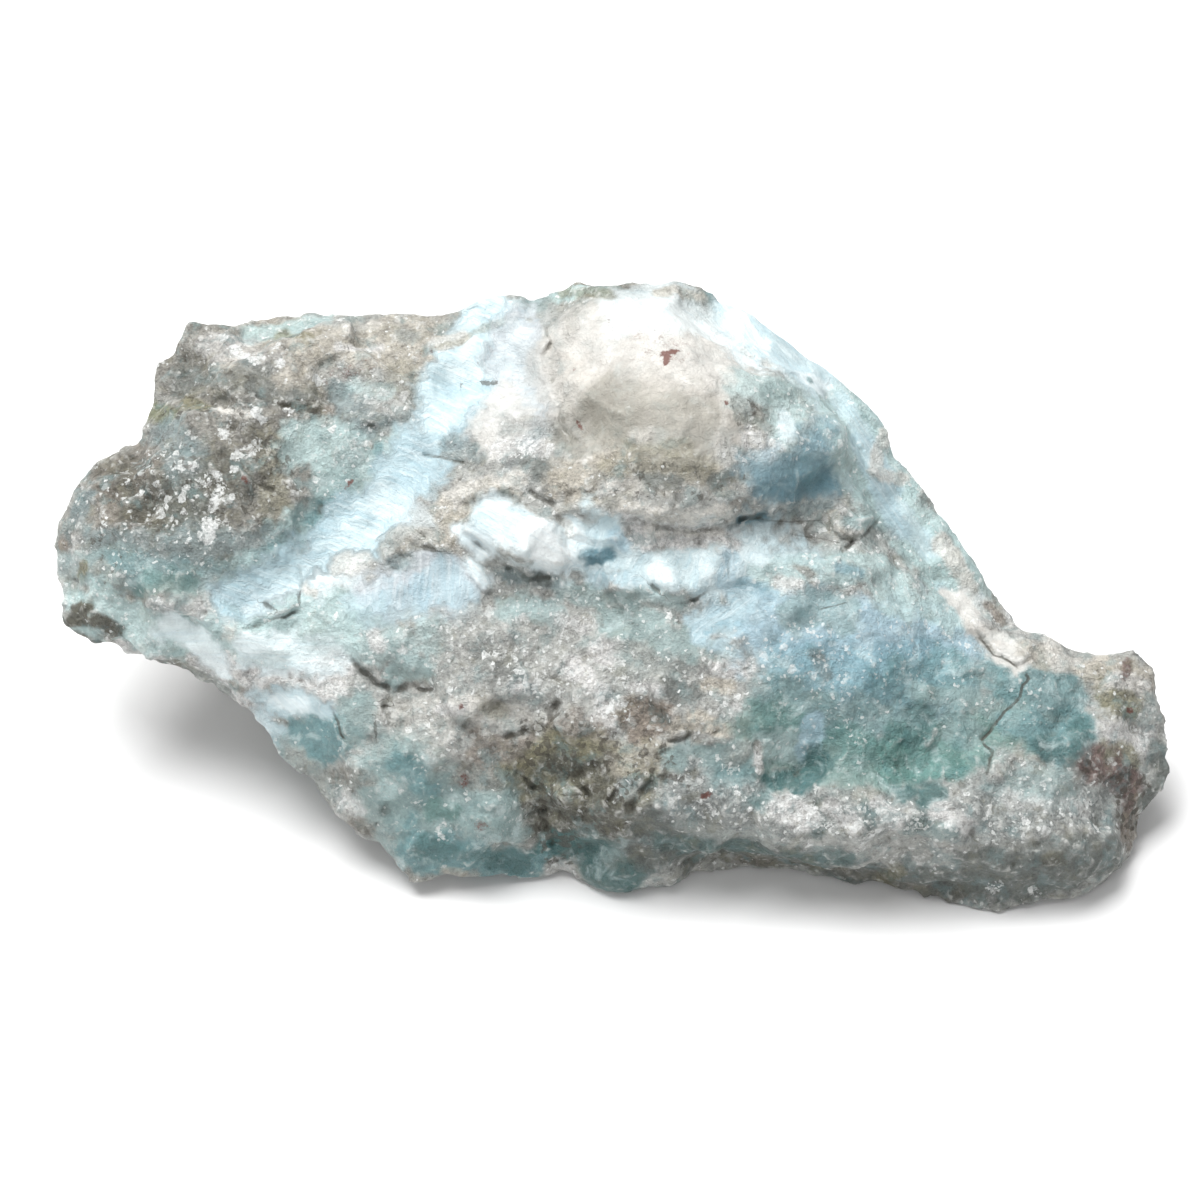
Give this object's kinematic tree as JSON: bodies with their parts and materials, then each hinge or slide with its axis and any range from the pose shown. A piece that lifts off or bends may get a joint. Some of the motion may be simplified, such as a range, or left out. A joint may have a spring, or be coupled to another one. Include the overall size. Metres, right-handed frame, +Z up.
{
  "type": "rough larimar",
  "caption": "Rough lump of blue pectolite with grey host rock on its rims: a broad fractured face with a pale boss, ledges and hollows, lying on a small flat.",
  "frame": {"origin": "under the middle of the stone's box, on the surface that it lies on", "axes": "+X along the stone's length, +Y from its low front edge to its back wall, +Z up from the flat spot that it rests on"},
  "size_m": [0.1128, 0.0572, 0.0387],
  "materials": {
    "larimar": "rough fracture, silky to dull"
  },
  "bodies": {
    "root": {"larimar_stone": "larimar"}
  },
  "joints": []
}
